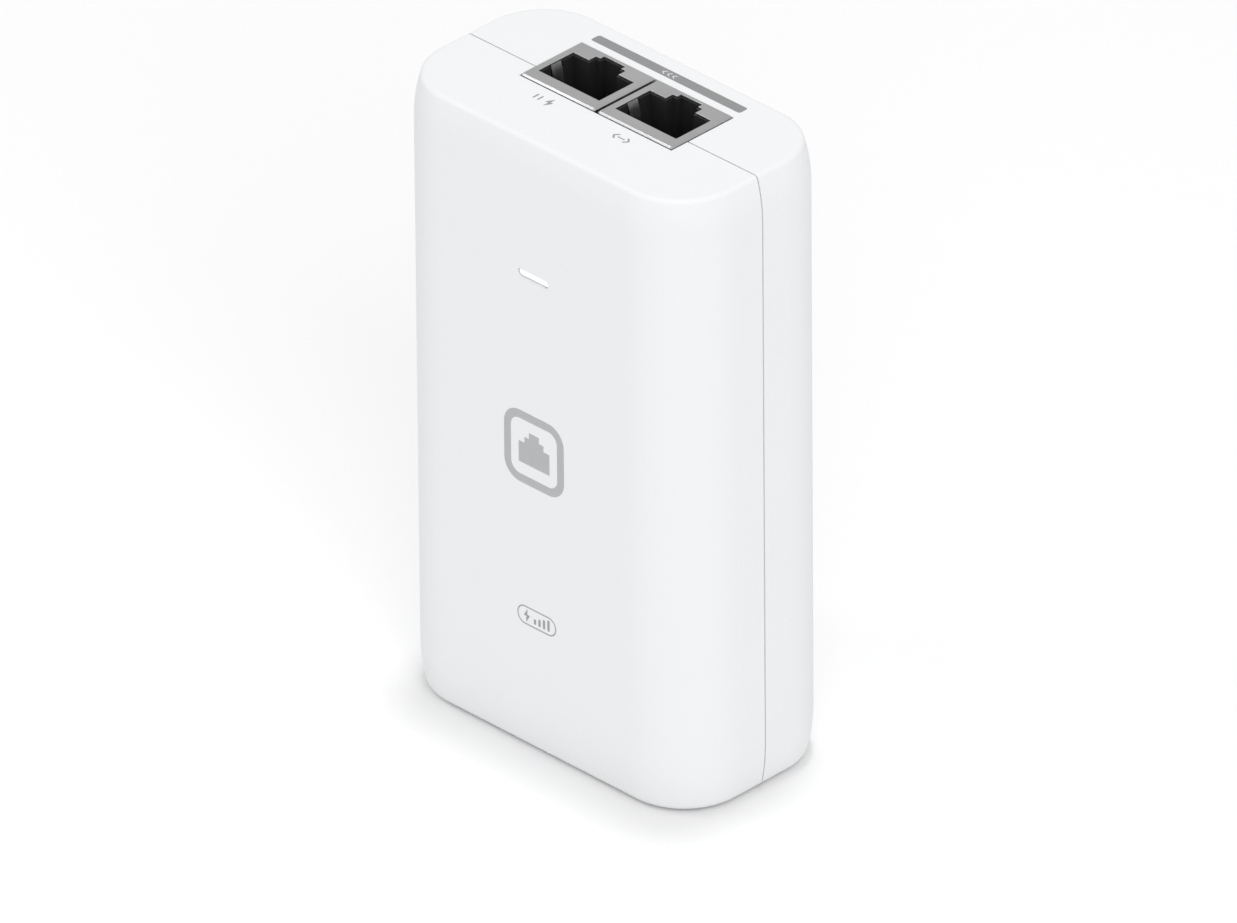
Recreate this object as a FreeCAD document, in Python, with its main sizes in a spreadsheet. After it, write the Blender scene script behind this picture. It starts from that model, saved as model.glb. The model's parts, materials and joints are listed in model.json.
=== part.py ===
import FreeCAD, Part
import math
import os
import re

import Sketcher

# Power-over-Ethernet injector: a mains power supply with two network jacks.
# Millimetres. The origin is the middle of the end it stands on, +Z runs up to the jacks,
# -Y is the front with the status light, and +X is to the right of someone facing the front.

Vector = FreeCAD.Vector
Rotation = FreeCAD.Rotation

DIMENSIONS = {
    # case: two half shells that meet in the plane y = 0
    "case_width": 66, "case_depth": 36, "case_height": 112, "corner_radius": 12, "wall": 2.2,
    "seam_gap": 0.25, "fit_gap": 0.15,
    "top_inset": 1.2, "top_curve": 8, "top_rounding": 0.8,
    "base_inset": 1.0, "base_curve": 8.5, "base_rounding": 1.6,
    "tongue_inset": 1.15, "tongue_reach": 1.4, "tongue_gap": 0.1, "tongue_corner": 2,
    # status light slot in the front wall, and the light pipe behind it
    "slot_width": 7, "slot_height": 1.55, "slot_level": 87.8, "lens_recess": 0.55, "lens_gap": 0.2,
    "flange_width": 10, "flange_height": 4.4, "flange_thickness": 1.2,
    "guide_width": 4, "guide_height": 1.5, "guide_gap": 0.3,
    # network jacks: the shield, its mouth, the black housing and the spring contacts
    "jack_width": 16.3, "jack_depth": 13.7, "jack_length": 21.4, "jack_gap": 0.6,
    "jack_proud": 0.4, "shield_sheet": 0.3, "shield_bend": 0.4,
    "shield_bevel": 0.28, "mouth_bend": 0.12,
    "mouth_width": 13.4, "mouth_margin": 2.55, "mouth_depth": 7.8,
    "latch_width": 6.5, "latch_reach": 1.6, "key_width": 4.6, "key_reach": 0.9,
    "housing_gap": 0.1, "socket_lip": 0.22, "socket_reach": 14.5,
    "contact_count": 8, "contact_pitch": 1.02, "contact_width": 0.45, "contact_section": 0.4,
    "contact_rise": 4.0, "contact_run": 9.4, "contact_level": 2.6, "contact_margin": 1.55,
    "contact_bend": 0.5, "well_width": 8.8, "well_margin": 0.9, "well_cover": 1.2, "well_reach": 14,
    "tab_width": 2.2, "tab_radius": 10.5, "tab_sheet": 0.25, "tab_length": 8.4, "tab_inset": 0.15,
    "tab_room": 0.2, "tab_recess": 0.5,
    # inlaid strip behind the jacks
    "strip_width": 32.8, "strip_depth": 2, "strip_place": 12.8, "strip_thickness": 0.5,
    "strip_corner": 0.5, "strip_sink": 0.05, "strip_gap": 0.05,
    # mains inlet: cut-cornered well, collar inside the base wall, three blades
    "inlet_width": 27.6, "inlet_depth": 20.4, "inlet_length": 20, "inlet_recess": 0.3,
    "inlet_place": 0.4, "inlet_corner": 1, "inlet_cavity_width": 24.2, "inlet_cavity_depth": 16.6,
    "inlet_chamfer": 4.5, "inlet_cavity_reach": 16.8,
    "collar_margin": 1.8, "collar_thickness": 2.2, "collar_gap": 0.1,
    "blade_thickness": 2, "blade_width": 4, "blade_spacing": 14, "earth_offset": 4,
    "blade_tip": 3.6, "earth_lead": 1, "blade_end": 25, "foot_height": 2.5, "blade_gap": 0.05,
    "blade_chamfer": 0.5,
    # main board, upright and parallel to the front, its bosses and its screws
    "board_width": 59, "board_low": 21, "board_high": 106, "board_rear": -3.6,
    "board_thickness": 1.6, "board_chamfer": 2,
    "boss_place": 22, "boss_low": 27, "boss_high": 86, "boss_radius": 3, "boss_root": 16.5,
    "screw_radius": 1, "screw_depth": 8.4, "screw_room": 0.6, "thread_gap": 0.05, "hole_gap": 0.3,
    "head_radius": 2.2, "head_height": 1.6, "drive_width": 0.4,
    # insulating sheet inside the front wall, and the label on the rear face
    "sheet_width": 37, "sheet_low": 6, "sheet_high": 82, "sheet_thickness": 0.4, "sheet_gap": 0.1,
    "label_width": 40, "label_height": 66, "label_level": 54, "label_thickness": 0.2,
    "label_corner": 2, "label_sink": 0.02,
    # what parts on the board share
    "lead": 0.7, "stand_off": 1, "seat": 0.3, "body_edge": 0.4, "wire_gap": 0.02, "overcut": 1,
    "package_width": 10, "package_height": 15, "package_thickness": 4.4, "package_lift": 3,
    "package_pitch": 2.54,
    "groove_place": 2.2, "groove_section": 0.7, "groove_lift": 0.35,
}

# Parts on the board: the middle across X and the level along Z, then the size.
# Width is across X, height is out from the board and length is along Z.
BOARD_PARTS = {
    "fuse": dict(across=-24, level=37, radius=4.2, height=7.7, pitch=5),
    "varistor": dict(across=-15.5, level=37, radius=5.2, thickness=4),
    "thermistor": dict(across=13, level=37, radius=5, thickness=4.4),
    "y_capacitor": dict(across=11, level=86, radius=3.6, thickness=3),
    "x_capacitor": dict(across=-2, level=36.5, width=18, height=14.5, length=9, pitch=15),
    "choke": dict(across=22.5, level=37.5, radius=4.3, section=1.8, wire=0.3, seat=2.8),
    "bridge": dict(across=-26.8, level=56, width=3.6, height=11, length=20, lift=2, pitch=5),
    "bulk_capacitor": dict(across=19.5, level=47, radius=9, length=33, seat=9.4),
    "primary_heatsink": dict(across=-21.25, level=55.5, width=1.5, height=17, length=19),
    "switching_transistor": dict(across=-18.2, level=55),
    "transformer": dict(across=-3, level=58, width=23, height=16, length=20, lift=1.6),
    "core": dict(side=3, yoke=4, leg=3.4, leg_length=13),
    "bobbin": dict(bore=3.5, tube=4.1, flange=7.6, cheek=0.8, length=11.8),
    "winding": dict(bore=4.2, radius=7.2, length=10),
    "secondary_heatsink": dict(across=-1, level=74.75, width=18, height=17, length=1.5),
    "rectifier_diode": dict(across=-1, level=77.8),
    "output_capacitor": dict(across=-24.5, level=73.2, radius=4, length=15, pitch=9.1),
    "inductor": dict(across=-13.2, level=84, radius=3.2, section=1.5, wire=0.3, seat=2.5),
    "optocoupler": dict(across=2, level=86, width=4.6, height=3.4, length=6.4, pitch=2.6, rows=4),
    "power_controller": dict(across=12, level=70, width=7, height=0.9, length=7),
    "switching_controller": dict(across=-12, level=55, width=5, height=1.5, length=4),
    "status_led": dict(across=0, level=87.8, width=3, height=1, length=1.4),
    "port_transformer": dict(across=12, level=98, width=13, height=6, length=11),
}
for part, sizes in BOARD_PARTS.items():
    DIMENSIONS.update({f"{part}_{side}": number for side, number in sizes.items()})

TOLERANCE = 0.01
BOARD_FRONT = "(board_rear - board_thickness)"
JACK_TOP = "(case_height + jack_proud)"
JACK_BASE = "(case_height + jack_proud - jack_length)"

document = FreeCAD.newDocument("poe_injector")
sheet = document.addObject("Spreadsheet::Sheet", "dimensions")
for row, (alias, number) in enumerate(DIMENSIONS.items(), start=1):
    sheet.set(f"A{row}", alias)
    sheet.set(f"B{row}", str(number))
    sheet.setAlias(f"B{row}", alias)
document.recompute()

subparts = []


def formula(text):
    """Turn dimension names in a formula into references to the spreadsheet."""
    def reference(match):
        word = match.group(0)
        return f"dimensions.{word}" if word in DIMENSIONS else word
    return re.sub(r"[a-z_]+", reference, str(text))


def value(text):
    """Number that a formula gives now."""
    return float(sheet.evalExpression(formula(text)))


def bind(thing, name, text):
    """Tie a property to the spreadsheet."""
    thing.setExpression(name, formula(text))


def keep(thing):
    """List an object as one of the injector's sub-parts."""
    thing.Label = thing.Name
    subparts.append(thing)
    return thing


# ---------------------------------------------------------------- Part primitives

def place(thing, corner):
    for axis, text in zip("xyz", corner):
        bind(thing, f"Placement.Base.{axis}", text)


def block(name, corner, size):
    """Box from its lowest corner and its size along X, Y and Z."""
    box = document.addObject("Part::Box", name)
    for side, text in zip(("Length", "Width", "Height"), size):
        bind(box, side, text)
    place(box, corner)
    return box


TURNS = {
    "X": Rotation(Vector(0, 1, 0), 90),
    "Y": Rotation(Vector(1, 0, 0), -90),
    "Z": Rotation(),
}


def rod(name, start, radius, length, along="Z"):
    """Cylinder from the centre of its first end, running along +X, +Y or +Z."""
    cylinder = document.addObject("Part::Cylinder", name)
    bind(cylinder, "Radius", radius)
    bind(cylinder, "Height", length)
    cylinder.Placement.Rotation = TURNS[along]
    place(cylinder, start)
    return cylinder


def ring(name, centre, radius, section, along="Z"):
    """Torus about its centre."""
    torus = document.addObject("Part::Torus", name)
    bind(torus, "Radius1", radius)
    bind(torus, "Radius2", section)
    torus.Placement.Rotation = TURNS[along]
    place(torus, centre)
    return torus


def joined(name, pieces):
    """One solid from pieces that touch."""
    fusion = document.addObject("Part::MultiFuse", name)
    fusion.Shapes = pieces
    fusion.Refine = False
    return fusion


def grouped(name, pieces):
    """Separate solids that share one node."""
    compound = document.addObject("Part::Compound", name)
    compound.Links = pieces
    return compound


def without(name, base, tool):
    difference = document.addObject("Part::Cut", name)
    difference.Base = base
    difference.Tool = tool
    return difference


def rounded(name, base, radius):
    """Every edge of a plain piece rounded."""
    document.recompute()
    fillet = document.addObject("Part::Fillet", name)
    fillet.Base = base
    amount = value(radius)
    fillet.Edges = [(number, amount, amount) for number in range(1, len(base.Shape.Edges) + 1)]
    return fillet


# ---------------------------------------------------------------- PartDesign bodies

def new_body(name, many_solids=False):
    body = document.addObject("PartDesign::Body", name)
    body.AllowCompound = many_solids
    return body


def new_sketch(body, role, height="0"):
    """Sketch on one of the body's own origin planes, moved along that plane's normal."""
    sketch = body.newObject("Sketcher::SketchObject", f"{body.Name}_sketch")
    plane = next(item for item in body.Origin.OriginFeatures if item.Role == role)
    sketch.AttachmentSupport = [(plane, "")]
    sketch.MapMode = "FlatFace"
    bind(sketch, "AttachmentOffset.Base.z", height)
    return sketch


def pin_point(sketch, geometry, end, point):
    for kind, text in zip(("DistanceX", "DistanceY"), point):
        number = sketch.addConstraint(Sketcher.Constraint(kind, -1, 1, geometry, end, value(text)))
        bind(sketch, f"Constraints[{number}]", text)


def outline(sketch, points, closed=True):
    """Straight runs through the points, each point tied to the spreadsheet."""
    ends = points[1:] + (points[:1] if closed else [])
    lines = []
    for first, second in zip(points, ends):
        corners = [Vector(value(x), value(y), 0) for x, y in (first, second)]
        line = sketch.addGeometry(Part.LineSegment(*corners))
        pin_point(sketch, line, 1, first)
        if lines:
            sketch.addConstraint(Sketcher.Constraint("Coincident", lines[-1], 2, line, 1))
        lines.append(line)
    if closed:
        sketch.addConstraint(Sketcher.Constraint("Coincident", lines[-1], 2, lines[0], 1))
    else:
        pin_point(sketch, lines[-1], 2, points[-1])
    return lines


def rectangle(sketch, low, high):
    (x_low, y_low), (x_high, y_high) = low, high
    outline(sketch, [(x_low, y_low), (x_high, y_low), (x_high, y_high), (x_low, y_high)])


def disc(sketch, centre, radius):
    middle = Vector(value(centre[0]), value(centre[1]), 0)
    circle = sketch.addGeometry(Part.Circle(middle, Vector(0, 0, 1), value(radius)))
    pin_point(sketch, circle, 3, centre)
    number = sketch.addConstraint(Sketcher.Constraint("Radius", circle, value(radius)))
    bind(sketch, f"Constraints[{number}]", radius)


def extrude(sketch, kind, length, backwards=False):
    """Pad or Pocket of a sketch; each has to change the body's volume the right way."""
    body = sketch.getParentGeoFeatureGroup()
    document.recompute()
    before = body.Shape.Volume if body.Tip and body.Shape.Solids else 0
    feature = body.newObject(f"PartDesign::{kind}", f"{body.Name}_{kind.lower()}")
    feature.Profile = sketch
    bind(feature, "Length", length)
    feature.Reversed = backwards
    document.recompute()
    grown = feature.Shape.Volume - before
    if (grown > 0) != (kind == "Pad"):
        raise RuntimeError(f"{feature.Name} changed the volume by {grown:.3f}")
    return feature


def edge_names(feature, wanted):
    return [f"Edge{number}" for number, edge in enumerate(feature.Shape.Edges, start=1)
            if wanted(edge)]


def dress(feature, kind, size, wanted):
    """Fillet or Chamfer on the wanted edges of the newest feature."""
    body = feature.getParentGeoFeatureGroup()
    names = edge_names(feature, wanted)
    if not names:
        raise RuntimeError(f"no edge for a {kind} on {feature.Name}")
    dressed = body.newObject(f"PartDesign::{kind}", f"{body.Name}_{kind.lower()}")
    dressed.Base = (feature, names)
    bind(dressed, "Radius" if kind == "Fillet" else "Size", size)
    document.recompute()
    if "Invalid" in dressed.State:
        raise RuntimeError(f"{dressed.Name} cannot be made")
    return dressed


def runs_along(edge, axis):
    direction = edge.tangentAt(edge.FirstParameter)
    return edge.Curve.TypeId == "Part::GeomLine" and abs(getattr(direction, axis)) > 1 - TOLERANCE


def lies_at(edge, axis, text):
    """True when the whole edge lies in the plane at this place along the axis."""
    low = getattr(edge.BoundBox, f"{axis.upper()}Min")
    high = getattr(edge.BoundBox, f"{axis.upper()}Max")
    return max(abs(low - value(text)), abs(high - value(text))) < TOLERANCE


def lies_within(edge, middle, width, depth):
    """True when the edge is at least two sheets inside a rectangle seen from above."""
    across = abs(edge.CenterOfMass.x - value(middle[0]))
    back = abs(edge.CenterOfMass.y - value(middle[1]))
    return (across < value(f"{width} / 2 - 2 * shield_sheet")
            and back < value(f"{depth} / 2 - 2 * shield_sheet"))


def stands_off(edge, axis, half):
    """True for a straight edge along the axis, this far to either side of the middle."""
    return runs_along(edge, axis) and abs(abs(edge.CenterOfMass.x) - value(half)) < TOLERANCE


# ---------------------------------------------------------------- case

def edge_relief(sketch, side, end_level, inset, curve):
    """Waste outside the long arc by which a wall leans in towards one end of the case.

    The arc leaves the wall in line with it and ends on the end face, moved in by the inset.
    """
    wall_x = "-case_width / 2"
    start_level = f"{end_level} - {side} * {curve}"
    margin = 2
    corners = [
        (f"{wall_x} + {inset}", end_level),
        (f"{wall_x} + {inset}", f"{end_level} + {side} * {margin}"),
        (f"{wall_x} - {margin}", f"{end_level} + {side} * {margin}"),
        (f"{wall_x} - {margin}", start_level),
        (wall_x, start_level),
    ]
    lines = outline(sketch, corners, closed=False)
    radius_text = f"({curve}^2 + {inset}^2) / (2 * {inset})"
    radius = value(radius_text)
    middle = Vector(value(wall_x) + radius, value(start_level), 0)
    turn = math.asin(value(curve) / radius)
    angles = (math.pi - turn, math.pi) if side > 0 else (math.pi, math.pi + turn)
    arc = sketch.addGeometry(Part.ArcOfCircle(Part.Circle(middle, Vector(0, 0, 1), radius), *angles))
    end_point, start_point = (1, 2) if side > 0 else (2, 1)
    sketch.addConstraint(Sketcher.Constraint("Coincident", lines[0], 1, arc, end_point))
    sketch.addConstraint(Sketcher.Constraint("Coincident", lines[-1], 2, arc, start_point))
    number = sketch.addConstraint(Sketcher.Constraint("Radius", arc, radius))
    bind(sketch, f"Constraints[{number}]", radius_text)


def half_plan(sketch, side, inset):
    """Half of the case's plan from the seam outwards, its two far corners rounded."""
    half_width = f"(case_width / 2 - {inset})"
    half_depth = f"(case_depth / 2 - {inset})"
    corner_x = "(case_width / 2 - corner_radius)"
    corner_y = "(case_depth / 2 - corner_radius)"
    seam = f"{side} * seam_gap / 2"
    runs = [
        ((f"-{half_width}", seam), (f"-{half_width}", f"{side} * {corner_y}")),
        ((f"-{corner_x}", f"{side} * {half_depth}"), (corner_x, f"{side} * {half_depth}")),
        ((half_width, f"{side} * {corner_y}"), (half_width, seam)),
    ]
    lines = []
    for ends in runs:
        corners = [Vector(value(x), value(y), 0) for x, y in ends]
        line = sketch.addGeometry(Part.LineSegment(*corners))
        for end, point in enumerate(ends, start=1):
            pin_point(sketch, line, end, point)
        lines.append(line)
    left, far, right = lines
    closing = sketch.addGeometry(Part.LineSegment(Vector(value(half_width), value(seam), 0),
                                                  Vector(-value(half_width), value(seam), 0)))
    sketch.addConstraint(Sketcher.Constraint("Coincident", right, 2, closing, 1))
    sketch.addConstraint(Sketcher.Constraint("Coincident", closing, 2, left, 1))

    radius_text = f"corner_radius - {inset}"
    quarter = math.pi / 2
    joints = {-1: ((left, 2), (far, 1)), 1: ((far, 2), (right, 1))}
    for across, (before, after) in joints.items():
        start = {(-1, -1): 2, (1, -1): 3, (1, 1): 0, (-1, 1): 1}[across, side] * quarter
        middle = Vector(across * value(corner_x), side * value(corner_y), 0)
        circle = Part.Circle(middle, Vector(0, 0, 1), value(radius_text))
        arc = sketch.addGeometry(Part.ArcOfCircle(circle, start, start + quarter))
        first, last = (1, 2) if side < 0 else (2, 1)
        sketch.addConstraint(Sketcher.Constraint("Coincident", *before, arc, first))
        sketch.addConstraint(Sketcher.Constraint("Coincident", arc, last, *after))
        number = sketch.addConstraint(Sketcher.Constraint("Radius", arc, value(radius_text)))
        bind(sketch, f"Constraints[{number}]", radius_text)


def half_shell(name, side):
    """Tray with the case's outer form: side -1 is the front half and +1 the rear half."""
    body = new_body(name)
    seam = f"{side} * seam_gap / 2"
    sketch = new_sketch(body, "XY_Plane")
    half_plan(sketch, side, "0")
    plan = extrude(sketch, "Pad", "case_height")
    spine = edge_names(plan, lambda edge: lies_at(edge, "z", "0") and not lies_at(edge, "y", seam))
    ends = ((1, "case_height", "top_inset", "top_curve"), (-1, "0", "base_inset", "base_curve"))
    for direction, level, inset, curve in ends:
        sketch = new_sketch(body, "XZ_Plane", f"-({seam})")
        edge_relief(sketch, direction, level, inset, curve)
        feature = body.newObject("PartDesign::SubtractivePipe", f"{name}_relief")
        feature.Profile = sketch
        feature.Spine = (plan, spine)
        document.recompute()
    for level, rounding in (("case_height", "top_rounding"), ("0", "base_rounding")):
        feature = dress(feature, "Fillet", rounding,
                        lambda edge: lies_at(edge, "z", level) and not lies_at(edge, "y", seam))
    sketch = new_sketch(body, "XY_Plane", "wall")
    half_plan(sketch, side, "wall")
    extrude(sketch, "Pocket", "case_height - 2 * wall", backwards=True)
    return body, seam


def inset_rectangle(sketch, inset):
    """Rectangle in the seam plane, inset from the outline of the case."""
    rectangle(sketch, (f"-case_width / 2 + {inset}", inset),
              (f"case_width / 2 - {inset}", f"case_height - {inset}"))


def centred_rectangle(sketch, middle, width, height, spare="0"):
    """Rectangle about its middle, grown by the same amount all round."""
    (across, along) = middle
    rectangle(sketch, (f"{across} - {width} / 2 - {spare}", f"{along} - {height} / 2 - {spare}"),
              (f"{across} + {width} / 2 + {spare}", f"{along} + {height} / 2 + {spare}"))


def cut_end_windows(body):
    """Openings for the pair of jacks in the top wall and for the inlet in the base wall."""
    pair = "jack_width + jack_gap / 2 + fit_gap"
    sketch = new_sketch(body, "XY_Plane", "case_height")
    rectangle(sketch, (f"-({pair})", "board_rear - fit_gap"),
              (pair, "board_rear + jack_depth + fit_gap"))
    extrude(sketch, "Pocket", "2 * wall")
    sketch = new_sketch(body, "XY_Plane")
    centred_rectangle(sketch, ("0", "inlet_place"), "inlet_width", "inlet_depth", "fit_gap")
    extrude(sketch, "Pocket", "2 * wall", backwards=True)


def screw_places():
    return [(across, level) for across in ("-boss_place", "boss_place")
            for level in ("boss_low", "boss_high")]


def front_shell():
    """Front half with the tongue of the seam, four screw bosses and the status slot."""
    body, seam = half_shell("front_shell", -1)
    sketch = new_sketch(body, "XZ_Plane", f"-({seam})")
    inset_rectangle(sketch, "tongue_inset")
    inset_rectangle(sketch, "wall")
    tongue = extrude(sketch, "Pad", "tongue_reach + seam_gap", backwards=True)
    dress(tongue, "Fillet", "tongue_corner",
          lambda edge: stands_off(edge, "y", "case_width / 2 - tongue_inset"))

    sketch = new_sketch(body, "XZ_Plane", f"-{BOARD_FRONT}")
    for spot in screw_places():
        disc(sketch, spot, "boss_radius")
    extrude(sketch, "Pad", f"boss_root + {BOARD_FRONT}")
    sketch = new_sketch(body, "XZ_Plane", f"-{BOARD_FRONT}")
    for spot in screw_places():
        disc(sketch, spot, "screw_radius + thread_gap")
    extrude(sketch, "Pocket", "screw_depth + screw_room", backwards=True)

    sketch = new_sketch(body, "XZ_Plane", "case_depth / 2")
    centred_rectangle(sketch, ("0", "slot_level"), "slot_width", "slot_height")
    slot = extrude(sketch, "Pocket", "2 * wall")
    dress(slot, "Fillet", f"slot_height / 2 - {TOLERANCE}",
          lambda edge: stands_off(edge, "y", "slot_width / 2"))
    cut_end_windows(body)
    return keep(body)


def rear_shell():
    """Rear half with the rebate for the tongue, the strip's inlay and the label's recess."""
    body, seam = half_shell("rear_shell", 1)
    sketch = new_sketch(body, "XZ_Plane", f"-({seam})")
    inset_rectangle(sketch, "(tongue_inset - tongue_gap)")
    rebate = extrude(sketch, "Pocket", "tongue_reach + tongue_gap")
    dress(rebate, "Fillet", "tongue_corner",
          lambda edge: stands_off(edge, "y", "case_width / 2 - tongue_inset + tongue_gap"))

    sketch = new_sketch(body, "XY_Plane", "case_height")
    centred_rectangle(sketch, ("0", "strip_place"), "strip_width", "strip_depth")
    inlay = extrude(sketch, "Pocket", "strip_thickness + strip_sink")
    dress(inlay, "Fillet", "strip_corner", lambda edge: stands_off(edge, "z", "strip_width / 2"))

    sketch = new_sketch(body, "XZ_Plane", "-case_depth / 2")
    centred_rectangle(sketch, ("0", "label_level"), "label_width", "label_height")
    recess = extrude(sketch, "Pocket", "label_thickness", backwards=True)
    dress(recess, "Fillet", "label_corner", lambda edge: stands_off(edge, "y", "label_width / 2"))
    cut_end_windows(body)
    return keep(body)


def rating_label():
    """Blank plate in the recess of the rear face."""
    body = new_body("rating_label")
    sketch = new_sketch(body, "XZ_Plane", "-case_depth / 2 + label_sink")
    centred_rectangle(sketch, ("0", "label_level"), "label_width", "label_height", "-fit_gap")
    plate = extrude(sketch, "Pad", "label_thickness - label_sink")
    dress(plate, "Fillet", "label_corner - fit_gap", lambda edge: runs_along(edge, "y"))
    return keep(body)


def port_strip():
    """Narrow grey inlay behind the jacks."""
    body = new_body("port_strip")
    sketch = new_sketch(body, "XY_Plane", "case_height - strip_sink")
    centred_rectangle(sketch, ("0", "strip_place"), "strip_width", "strip_depth", "-strip_gap")
    inlay = extrude(sketch, "Pad", "strip_thickness", backwards=True)
    dress(inlay, "Fillet", "strip_corner - strip_gap", lambda edge: runs_along(edge, "z"))
    return keep(body)


def light_pipe():
    """Lens that fills the slot, a flange behind the wall and a guide back to the LED."""
    body = new_body("light_pipe")
    inner = "case_depth / 2 - wall"
    middle = ("0", "slot_level")
    sketch = new_sketch(body, "XZ_Plane", inner)
    centred_rectangle(sketch, middle, "slot_width", "slot_height", "-lens_gap")
    lens = extrude(sketch, "Pad", "wall - lens_recess")
    dress(lens, "Fillet", f"slot_height / 2 - lens_gap - {TOLERANCE}",
          lambda edge: runs_along(edge, "y"))
    sketch = new_sketch(body, "XZ_Plane", inner)
    centred_rectangle(sketch, middle, "flange_width", "flange_height")
    extrude(sketch, "Pad", "flange_thickness", backwards=True)
    sketch = new_sketch(body, "XZ_Plane", f"{inner} - flange_thickness")
    centred_rectangle(sketch, middle, "guide_width", "guide_height")
    reach = f"{inner} - flange_thickness + {BOARD_FRONT} - status_led_height - guide_gap"
    extrude(sketch, "Pad", reach, backwards=True)
    return keep(body)


# ---------------------------------------------------------------- network jacks

def jack_centre(side):
    return f"({side} * (jack_width + jack_gap) / 2)"


def plug_outline(sketch, centre, shrink):
    """Mouth of a modular jack: the plug's rectangle, the latch step and the key notch."""
    front = f"board_rear + mouth_margin + {shrink}"
    back = f"board_rear + mouth_margin + mouth_depth - {shrink}"
    latch = f"{back} + latch_reach"
    key = f"{latch} + key_reach"
    plug_half = f"(mouth_width / 2 - {shrink})"
    latch_half = f"(latch_width / 2 - {shrink})"
    key_half = f"(key_width / 2 - {shrink})"
    right = [(plug_half, front), (plug_half, back), (latch_half, back), (latch_half, latch),
             (key_half, latch), (key_half, key)]
    points = [(f"{centre} + {half}", depth) for half, depth in right]
    points += [(f"{centre} - {half}", depth) for half, depth in reversed(right)]
    outline(sketch, points)


def spring_tab(name, side, centre):
    """Arched grounding finger on one side of the mouth, bowed in towards the plug."""
    segments = []
    angle = math.degrees(2 * math.asin(value("tab_length / 2") / value("tab_radius")))
    facing = 180 - angle / 2 if side > 0 else -angle / 2
    bow = "tab_radius - sqrt(tab_radius^2 - tab_length^2 / 4)"
    middle = f"{side} * (mouth_width / 2 + tab_inset - ({bow}) + tab_radius)"
    for layer, radius in (("outer", "tab_radius"), ("inner", "tab_radius - tab_sheet")):
        segment = document.addObject("Part::Cylinder", f"{name}_{layer}")
        bind(segment, "Radius", radius)
        bind(segment, "Height", "tab_width")
        segment.Angle = angle
        segment.Placement.Rotation = Rotation(Vector(1, 0, 0), 90) * Rotation(Vector(0, 0, 1), facing)
        place(segment, (f"{centre} + {middle}",
                        "board_rear + mouth_margin + (mouth_depth + tab_width) / 2",
                        f"{JACK_TOP} - tab_length / 2"))
        segments.append(segment)
    return without(name, *segments)


def jack_shield(name, side):
    """Folded sheet can around the housing, with the mouth and two grounding fingers."""
    centre = jack_centre(side)
    can = new_body(f"{name}_can")
    outside = (centre, "board_rear + jack_depth / 2")
    sketch = new_sketch(can, "XY_Plane", JACK_BASE)
    centred_rectangle(sketch, outside, "jack_width", "jack_depth")
    shape = extrude(sketch, "Pad", "jack_length")
    folded = dress(shape, "Fillet", "shield_bend", lambda edge: runs_along(edge, "z"))
    dress(folded, "Chamfer", "shield_bevel", lambda edge: lies_at(edge, "z", JACK_TOP))
    sketch = new_sketch(can, "XY_Plane", JACK_BASE)
    centred_rectangle(sketch, outside, "jack_width", "jack_depth", "-shield_sheet")
    extrude(sketch, "Pocket", "jack_length - shield_sheet", backwards=True)
    sketch = new_sketch(can, "XY_Plane", JACK_TOP)
    plug_outline(sketch, centre, "0")
    mouth = extrude(sketch, "Pocket", "2 * shield_sheet")
    dress(mouth, "Fillet", "mouth_bend",
          lambda edge: lies_at(edge, "z", JACK_TOP)
          and lies_within(edge, outside, "jack_width", "jack_depth"))
    tabs = [spring_tab(f"{name}_tab_{word}", tab_side, centre)
            for word, tab_side in (("left", -1), ("right", 1))]
    return keep(joined(name, [can, *tabs]))


def jack_housing(name, side):
    """Black insert with the plug's channel, the well under the contacts and the tab slots."""
    centre = jack_centre(side)
    body = new_body(name)
    skin = "(shield_sheet + housing_gap)"
    top = f"{JACK_TOP} - {skin}"
    sketch = new_sketch(body, "XY_Plane", f"{JACK_BASE} + {skin}")
    centred_rectangle(sketch, (centre, "board_rear + jack_depth / 2"), "jack_width", "jack_depth",
                      f"-{skin}")
    extrude(sketch, "Pad", f"jack_length - 2 * {skin}")
    sketch = new_sketch(body, "XY_Plane", top)
    plug_outline(sketch, centre, "socket_lip")
    extrude(sketch, "Pocket", "socket_reach")
    channel_front = "board_rear + mouth_margin + socket_lip"
    sketch = new_sketch(body, "XY_Plane", f"{top} - well_cover")
    rectangle(sketch, (f"{centre} - well_width / 2", "board_rear + well_margin"),
              (f"{centre} + well_width / 2", f"{channel_front} + {TOLERANCE}"))
    extrude(sketch, "Pocket", "well_reach - well_cover")
    middle = "board_rear + mouth_margin + mouth_depth / 2"
    for tab_side in (-1, 1):
        sketch = new_sketch(body, "XY_Plane", top)
        inner = f"{centre} + {tab_side} * (mouth_width / 2 - socket_lip - tab_room)"
        outer = f"{centre} + {tab_side} * (mouth_width / 2 + tab_recess)"
        rectangle(sketch, (inner, f"{middle} - tab_width / 2 - tab_room"),
                  (outer, f"{middle} + tab_width / 2 + tab_room"))
        extrude(sketch, "Pocket", "tab_length + 2 * tab_room")
    return keep(body)


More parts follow.
